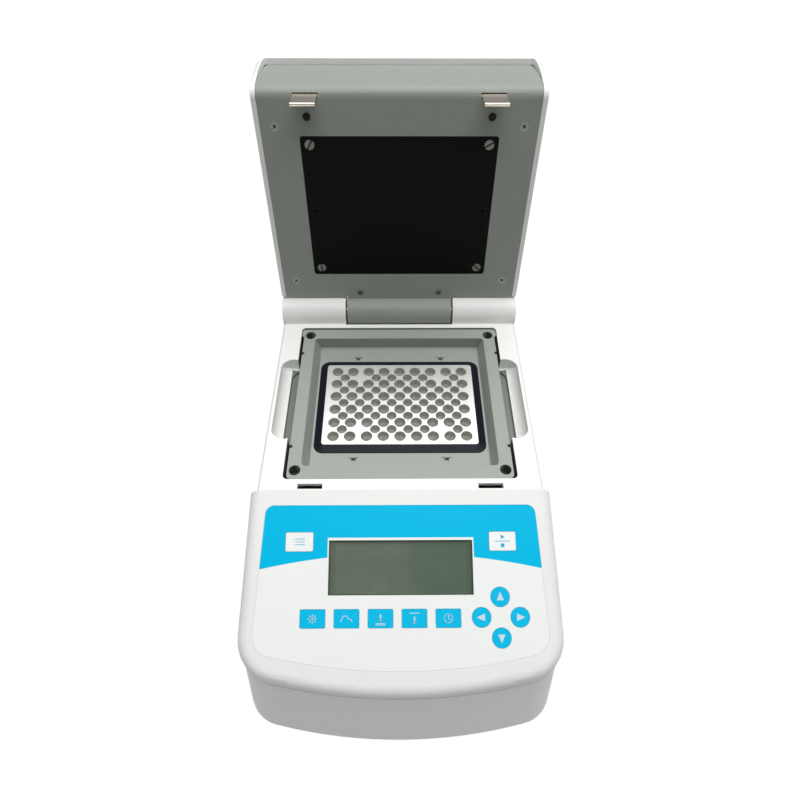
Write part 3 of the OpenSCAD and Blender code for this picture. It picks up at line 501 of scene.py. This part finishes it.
class HEATER_OT_greys(bpy.types.Operator):
    """Finish the grey liner of the lid and the frame round the block"""
    bl_idname = "heater.greys"
    bl_label = "Grey Mouldings"

    def execute(self, context):
        tone = tuple(colours().liner)
        liner = moulded("grey_textured", tone, 0.5, sizes().grain * 0.9, 0.35, dust=0.15)
        rounded_copy("lid_liner", "lid", liner)
        tray = moulded("grey_frame", tuple(colours().frame), 0.45, sizes().grain, 0.2, dust=0.15)
        # painted shade darkens the deep screw wells in the frame's corners
        tray.stain(self.screw_well_shade(tray) * 0.75, linear(20, 25, 22))
        dress(tray, "well_frame")
        return {"FINISHED"}

    def screw_well_shade(self, tray):
        """Painted shade: 1 inside the four deep wells in the corners of the frame."""
        sides, ends = beside(tray, "well_frame")
        off_x, off_y = sides + WELL_FROM_SIDE, ends + WELL_FROM_END
        outside = (off_x * off_x + off_y * off_y).over(WELL_RADIUS ** 2, 0.000001)
        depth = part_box("well_frame")[1].z - tray.axes()[2]
        return (1 - outside) * depth.over(0.0008, 0.0003)


class HEATER_OT_keypad(bpy.types.Operator):
    """Print the keypad film and finish the keys, the window and the display"""
    bl_idname = "heater.keypad"
    bl_label = "Keypad"

    def execute(self, context):
        cyan, white = tuple(colours().cyan), tuple(colours().film)
        self.film(cyan, white)
        self.caps(cyan, white)
        self.display()
        return {"FINISHED"}

    def film(self, cyan, white):
        finish = Finish("printed_film", IOR=1.5, Specular_IOR_Level=0.1)
        press = Vector(joint_of("mode_button")["axis"])
        slope = math.atan2(abs(press.y), abs(press.z))
        film_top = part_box("keypad_overlay")[1].y
        x, y = finish.axes()[:2]
        down = FILM_FROM_RIDGE + (film_top - y) / math.cos(slope)
        edge = sizes().swoosh + x * x / SWOOSH_BEND
        lower = (down - edge).over(0, 0.00012)
        # a white border round the window
        sides, ends = beside(finish, "display_window")
        border = 1 - (sides - 0.0006).most(ends - 0.0004).over(0, 0.00006)
        cloud = finish.noise(0.02, 3)
        fine = finish.noise(0.0004, 2)
        tone = finish.blend(lower.most(border), cyan, white)
        dull = finish.blend(cloud * 0.05, tone, (0, 0, 0))
        finish.set(Base_Color=dull, Roughness=0.34 + (cloud - 0.5) * 0.1)
        finish.bump(fine, 0.08, 0.00008)
        dress(finish, "keypad_overlay")

    def caps(self, cyan, white):
        for name, tone, keys in (("cyan_cap", cyan, CYAN_KEYS), ("white_cap", white, WHITE_KEYS)):
            finish = Finish(name, IOR=1.5, Specular_IOR_Level=0.2)
            cloud = finish.noise(0.006, 2)
            finish.set(Base_Color=finish.blend(cloud, shade(tone, 0.97), shade(tone, 1.03)),
                Roughness=0.34 + (cloud - 0.5) * 0.12)
            finish.bump(finish.noise(0.003, 1), 0.12, 0.0002)
            dress(finish, *keys)

    def display(self):
        tone = tuple(colours().display)
        crystal = Finish("liquid_crystal", IOR=1.5, Specular_IOR_Level=0.2)
        low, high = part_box("display_window")
        x = crystal.axes()[0]
        # a dark rim, two darker strips at the sides, and a painted reflection: a tone that falls to the
        # right, darker and greener
        sides, ends = beside(crystal, "display_window")
        side = sides.over(-0.004, 0.0006)
        rim = sides.most(ends).over(-0.0013, 0.0001)
        cloud = crystal.noise(0.03, 2)
        right = (x - (low.x + high.x) / 2).over(0.006, 0.02)
        painted_reflection_teal = (tone[0] * 0.4, tone[1] * 0.72, tone[2] * 0.7)
        body = crystal.blend(right * 0.7 + cloud * 0.2, tone, painted_reflection_teal)
        crystal.set(Base_Color=crystal.blend((side * 0.3).most(rim * 0.8), body, shade(tone, 0.2)),
            Roughness=0.3 + cloud * 0.1)
        crystal.bump(crystal.noise(0.0008, 1), 0.05, 0.00005)
        dress(crystal, "display_module")
        glass = Finish("clear_window", IOR=1.49, Alpha=0.22)
        smear = glass.noise(0.012, 4)
        glass.set(Base_Color=glass.blend(smear, shade(tone, 0.5), tone), Roughness=0.05 + smear * 0.07)
        glass.material.surface_render_method = "BLENDED"
        dress(glass, "display_window")


class HEATER_OT_marks(bpy.types.Operator):
    """Print a plain sign on each key and on the power switch"""
    bl_idname = "heater.marks"
    bl_label = "Key Marks"

    def execute(self, context):
        pale = self.ink("pale_ink", tuple(colours().mark))
        blue = self.ink("blue_ink", shade(tuple(colours().cyan), 0.8))
        for key, turn in (("up", 0), ("left", 90), ("down", 180), ("right", 270)):
            spin = Matrix.Rotation(math.radians(turn), 2)
            arrow = [spin @ Vector(corner) for corner in ((0, 2.9), (-2.15, -2.0), (2.15, -2.0))]
            self.on(key, pale).outline(arrow).make()
        wheel = self.on("mode", pale).ring(0, 0, 1.5)
        for i in range(8):
            c, s = math.cos(i * math.pi / 4), math.sin(i * math.pi / 4)
            wheel.line((1.9 * c, 1.9 * s), (2.5 * c, 2.5 * s))
        wheel.disc(0, 0, 0.5).make()
        steps = (-3.4, -1.6), (-1.9, 1.6), (0.1, 1.6), (1.1, -0.2), (2.3, -0.2), (3.4, -1.6)
        self.on("program", pale).line(*steps).make()
        block = self.thermometer(self.on("block_temp", pale), 0.8)
        block.line((-2.8, -2.8), (2.8, -2.8)).line((-2.8, -3.6), (2.8, -3.6)).make()
        lid = self.thermometer(self.on("lid_temp", pale), -0.8)
        lid.line((-2.8, 3.0), (2.8, 3.0)).make()
        self.on("time", pale).ring(0, 0, 2.5).line((0, 1.6), (0, 0), (1.2, -0.7)).make()
        bars = self.on("option", blue, "overlay")
        for y in (1.7, 0, -1.7):
            bars.disc(-2.9, y, 0.34, 16).line((-1.8, y), (3.2, y))
        bars.make()
        start_stop = self.on("start_stop", blue, "overlay")
        start_stop.outline([(-0.9, 1.2), (1.5, 2.55), (-0.9, 3.9)]).line((-4.4, 0), (4.4, 0))
        start_stop.outline([(-1.1, -3.6), (1.1, -3.6), (1.1, -1.4), (-1.1, -1.4)]).make()
        self.switch_marks(self.ink("switch_ink", linear(235, 235, 232)))
        return {"FINISHED"}

    def ink(self, name, tone):
        finish = Finish(name, IOR=1.5)
        cloud = finish.noise(0.002, 2)
        return finish.set(Base_Color=finish.blend(cloud, shade(tone, 0.94), tone),
            Roughness=0.4 + cloud * 0.1)

    def on(self, key, finish, slot="white_key"):
        """An empty drawing on a key's cap."""
        body = key + "_button"
        return Ink(cap_place(key + "_key", body), key + "_mark", body, slot, finish)

    def thermometer(self, ink, y):
        """A bulb with a drop in it, and a closed stem over the bulb."""
        bulb, neck, top, half = y - 1.5, y - 0.82, y + 1.6, 0.32
        ink.ring(0, bulb, 0.75, math.radians(115), math.radians(425))
        ink.line((-half, neck), (-half, top), (half, top), (half, neck))
        return ink.disc(0, bulb, 0.36, 16)

    def switch_marks(self, finish):
        """A bar and a ring on the two halves of the rocker's face."""
        points = points_of("power_rocker")
        joint = joint_of("rocker")
        pivot = Vector(joint["pos_m"])
        tilt = math.radians(-joint["range_deg"][0] / 2)
        x = points[:, 0].min() / 2 + points[:, 0].max() / 2
        hollow = math.atan2(1.6, 8.8)   # each half of the face falls 1.6 mm over 8.8 mm
        base = Matrix.Translation((x, pivot.y, pivot.z)) @ Matrix.Rotation(tilt, 4, "X")
        for side in (1, -1):
            flat = Matrix.Translation((0, 2.3 * MM, 0)) @ Matrix.Rotation(-side * hollow, 4, "X")
            # x to the left when seen from behind, y up, z out of the face
            turn = Matrix(((-1, 0, 0), (0, 0, 1), (0, 1, 0))).to_4x4()
            place = base @ flat @ Matrix.Translation((0, 0.00001, side * 4.6 * MM)) @ turn
            if side > 0:
                Ink(place, "switch_bar", "rocker", "white_key", finish).line((0, -1.6), (0, 1.6)).make()
            else:
                Ink(place, "switch_ring", "rocker", "white_key", finish).ring(0, 0, 1.5).make()


class HEATER_OT_metals(bpy.types.Operator):
    """Finish the block, the lid's plate, the hooks, the screws and the hinge shaft"""
    bl_idname = "heater.metals"
    bl_label = "Metal Parts"

    def execute(self, context):
        self.block()
        self.plate()
        steel = metal("zinc_steel", linear(186, 188, 190), 0.32, 0.0006, 0.12, (1, 4, 1))
        dress(steel, "block_screws", "base_screws", "board_screws", "power_board_screws",
            "inlet_screws", "block_probe", "hinge_shaft", "latch_catches")
        dress(metal("dark_steel", linear(104, 102, 97), 0.45, 0.0006, 0.15), "frame_screws")
        heads = {"plate_screws": linear(122, 120, 114), "liner_screws": linear(150, 150, 146)}
        for node, tone in heads.items():
            screw = metal(node + "_steel", tone, 0.42, 0.0006, 0.12)
            # painted shade darkens the slots and crosses sunk into the screw heads
            dress(screw.stain(sunk_shade(screw, node, 0.00015), shade(tone, 0.08)), node)
        nickel = metal("nickel_plate", linear(238, 224, 210), 0.22, 0.0008, 0.08, (0.15, 1, 1))
        dress(nickel, "latch_hooks")
        dress(metal("brass_pins", linear(200, 170, 96), 0.25), "inlet_pins")
        return {"FINISHED"}

    def block(self):
        """Bead-blasted top; less metallic walls in the wells, with painted shade under the rim and a
        painted lighter lower part.
        """
        finish = Finish("blasted_block")
        tone = tuple(colours().block)
        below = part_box("well_block")[1].z - finish.axes()[2]
        # depth is 1 inside the wells, and deep in their lower part, which is painted lighter as if lit
        depth = below.over(0.0012, 0.0008)
        deep = below.over(0.0058, 0.0004)
        beads = finish.noise(0.00035, 3)
        cloud = finish.noise(0.015, 3)
        top = finish.blend(cloud, shade(tone, 0.95), shade(tone, 1.03))
        painted_wall_shade_and_light = finish.blend(deep, linear(205, 204, 199), linear(250, 249, 245))
        finish.set(Base_Color=finish.blend(depth, top, painted_wall_shade_and_light),
            Metallic=0.85 - depth * 0.8, Roughness=0.42 + (beads - 0.5) * 0.16)
        finish.bump(beads, 0.35, 0.00008)
        dress(finish, "well_block")

    def plate(self):
        """Black anodised sheet with a faint sheen and finger smears."""
        finish = Finish("black_anodised", IOR=1.5, Specular_IOR_Level=0.08)
        tone = tuple(colours().plate)
        smear = finish.noise(0.035, 4, (1, 1, 0.6))
        fine = finish.noise(0.0003, 2)
        finish.set(Base_Color=finish.blend(smear, shade(tone, 0.7), shade(tone, 1.4)),
            Roughness=0.42 + (smear - 0.5) * 0.22)
        finish.bump(fine, 0.1, 0.00005)
        dress(finish, "hot_plate")


class HEATER_OT_rubbers(bpy.types.Operator):
    """Finish the seal round the block, the feet, the buffers and the pads"""
    bl_idname = "heater.rubbers"
    bl_label = "Rubber Parts"

    def execute(self, context):
        dress(rubber("seal_rubber", tuple(colours().seal), 0.4), "block_seal")
        dress(rubber("foot_rubber", linear(30, 30, 31)), "feet", "lid_bumpers")
        dress(rubber("red_silicone", linear(150, 62, 48)), "plate_pads", "lid_heater", "block_heater")
        return {"FINISHED"}


class HEATER_OT_inside(bpy.types.Operator):
    """Finish the boards, the insulation and the other pieces inside"""
    bl_idname = "heater.inside"
    bl_label = "Pieces Inside"

    def execute(self, context):
        self.boards()
        self.foam()
        dark = moulded("dark_moulded", linear(38, 39, 40), 0.42, sizes().grain, 0.2)
        dress(dark, "tact_switches", "thermal_cutout", "block_carrier")
        bush = moulded("bush_plastic", linear(228, 222, 205), 0.38, sizes().grain, 0.1)
        dress(bush, "hinge_bushes")
        return {"FINISHED"}

    def boards(self):
        finish = Finish("solder_mask", IOR=1.5, Coat_Roughness=0.2)
        tracks = finish.value("ShaderNodeTexBrick", {"offset": 0.3}, {
            "Vector": finish.where, "Scale": 120.0, "Mortar Size": 0.012, "Brick Width": 0.7,
            "Row Height": 0.3}, output=1)
        tone = linear(24, 92, 58)
        finish.set(Base_Color=finish.blend(tracks, tone, shade(tone, 1.5)),
            Roughness=0.35 + tracks * 0.1, Coat_Weight=0.3)
        finish.bump(tracks, 0.2, 0.0001)
        dress(finish, "control_board", "power_board")

    def foam(self):
        finish = Finish("insulating_foam")
        cells = finish.value("ShaderNodeTexVoronoi", {"feature": "F1"}, {
            "Vector": finish.where, "Scale": 700.0})
        tone = linear(226, 214, 184)
        finish.set(Base_Color=finish.blend(cells, tone, shade(tone, 0.7)), Roughness=0.9 + cells * 0.05)
        finish.bump(cells, 0.6, 0.0004)
        dress(finish, "block_insulation", "lid_insulation")


class HEATER_OT_rear(bpy.types.Operator):
    """Finish the mains inlet, its fuse drawer and the power switch"""
    bl_idname = "heater.rear"
    bl_label = "Rear Fittings"

    def execute(self, context):
        black = moulded("black_moulded", linear(26, 26, 27), 0.36, sizes().grain, 0.25, mottle=0.1)
        dress(black, "mains_inlet", "fuse_drawer", "switch_housing")
        red = moulded("rocker_plastic", linear(176, 34, 28), 0.28, sizes().grain, 0.1)
        dress(red, "power_rocker")
        return {"FINISHED"}


class HEATER_OT_stage(bpy.types.Operator):
    """Set the floor, the lamp, the room and the camera"""
    bl_idname = "heater.stage"
    bl_label = "Stage"

    def execute(self, context):
        stage = context.scene.heater_stage
        self.floor(tuple(stage.floor))
        self.lamp(stage.overhead)
        self.room(stage.sky)
        self.camera(stage.lens)
        context.scene.view_settings.view_transform = "Standard"
        return {"FINISHED"}

    def floor(self, tone):
        """A pale floor that keeps the shadow and looks almost white."""
        mesh = bpy.data.meshes.new("floor")
        work = bmesh.new()
        bmesh.ops.create_grid(work, x_segments=2, y_segments=2, size=6)
        work.to_mesh(mesh)
        work.free()
        ground = bpy.data.objects.new("floor", mesh)
        bpy.context.scene.collection.objects.link(ground)
        finish = Finish("pale_floor", Base_Color=tone, Roughness=0.9, IOR=1.2)
        seen = self.seen(finish)
        glow = finish.node("ShaderNodeEmission", None, {"Color": (1, 1, 1), "Strength": 1.2})
        mix = finish.node("ShaderNodeMixShader", None, {
            0: seen * 0.82, 1: finish.shader.outputs[0], 2: glow.outputs[0]})
        end = finish.tree.nodes["Material Output"]
        finish.feed(end.inputs["Surface"], mix.outputs[0])
        ground.data.materials.append(finish.material)

    def seen(self, finish):
        """1 for what the camera, a mirror or a glass shows."""
        path = finish.node("ShaderNodeLightPath")
        rays = [Field(finish, path.outputs[name]) for name in
            ("Is Camera Ray", "Is Glossy Ray", "Is Transmission Ray")]
        return rays[0].most(rays[1]).most(rays[2])

    def lamp(self, power):
        """A large soft disc over the object, a little behind it and to the right."""
        data = bpy.data.lights.new("overhead_lamp", "AREA")
        data.shape = "DISK"
        data.size = 1.8
        data.energy = power
        lamp = bpy.data.objects.new("overhead_lamp", data)
        lamp.location = (0.15, 0.25, 1.6)
        aim = Vector((0, 0, 0.1)) - lamp.location
        lamp.rotation_euler = aim.to_track_quat("-Z", "Y").to_euler()
        bpy.context.scene.collection.objects.link(lamp)

    def room(self, strength):
        """Even light from all round, and a white background."""
        world = bpy.data.worlds.new("room")
        bpy.context.scene.world = world
        world.use_nodes = True
        world.node_tree.nodes.clear()
        room = Nodes(world.node_tree)
        path = room.node("ShaderNodeLightPath")
        even = room.node("ShaderNodeBackground", None, {"Color": (1, 1, 1), "Strength": strength})
        white = room.node("ShaderNodeBackground", None, {"Color": (1, 1, 1)})
        mix = room.node("ShaderNodeMixShader", None, {
            0: path.outputs["Is Camera Ray"], 1: even.outputs[0], 2: white.outputs[0]})
        room.node("ShaderNodeOutputWorld", None, {"Surface": mix.outputs[0]})

    def camera(self, lens):
        data = bpy.data.cameras.new("camera")
        data.lens = lens
        data.sensor_width = 36
        data.clip_start = 0.01
        camera = bpy.data.objects.new("camera", data)
        def turned(angle):
            c, s = math.cos(math.radians(angle)), math.sin(math.radians(angle))
            return Matrix(((c, -s, 0), (s, c, 0), (0, 0, 1)))
        c, s = math.cos(math.radians(CAMERA_PITCH)), math.sin(math.radians(CAMERA_PITCH))
        down = Matrix(((1, 0, 0), (0, -s, -c), (0, c, -s)))
        right, below, ahead = turned(CAMERA_ROLL) @ down @ turned(CAMERA_YAW)
        axes = Matrix((right, -below, -ahead)).transposed()
        camera.matrix_world = Matrix.Translation(CAMERA_PLACE) @ axes.to_4x4()
        bpy.context.scene.collection.objects.link(camera)
        bpy.context.scene.camera = camera


class HEATER_PT_panel(bpy.types.Panel):
    """Tools of the dry block heater"""
    bl_idname = "HEATER_PT_panel"
    bl_label = "Dry Block Heater"
    bl_space_type = "VIEW_3D"
    bl_region_type = "UI"
    bl_category = "Block Heater"

    def draw(self, context):
        for maker in OPERATORS:
            self.layout.operator(maker.bl_idname)
        for group in ("heater_colours", "heater_sizes", "heater_stage"):
            box = self.layout.box()
            settings = getattr(context.scene, group)
            for name in settings.__annotations__:
                box.prop(settings, name)


OPERATORS = (HEATER_OT_shells, HEATER_OT_greys, HEATER_OT_keypad, HEATER_OT_marks, HEATER_OT_metals,
    HEATER_OT_rubbers, HEATER_OT_inside, HEATER_OT_rear, HEATER_OT_stage)
GROUPS = (HeaterColours, HeaterSizes, StageSettings)


def register():
    for each in GROUPS + OPERATORS + (HEATER_PT_panel,):
        bpy.utils.register_class(each)
    scene = bpy.types.Scene
    scene.heater_colours = bpy.props.PointerProperty(type=HeaterColours)
    scene.heater_sizes = bpy.props.PointerProperty(type=HeaterSizes)
    scene.heater_stage = bpy.props.PointerProperty(type=StageSettings)


def unregister():
    scene = bpy.types.Scene
    del scene.heater_stage, scene.heater_sizes, scene.heater_colours
    for each in reversed(GROUPS + OPERATORS + (HEATER_PT_panel,)):
        bpy.utils.unregister_class(each)


def main():
    register()
    for maker in OPERATORS:
        family, name = maker.bl_idname.split(".")
        getattr(getattr(bpy.ops, family), name)()


if __name__ == "__main__":
    main()
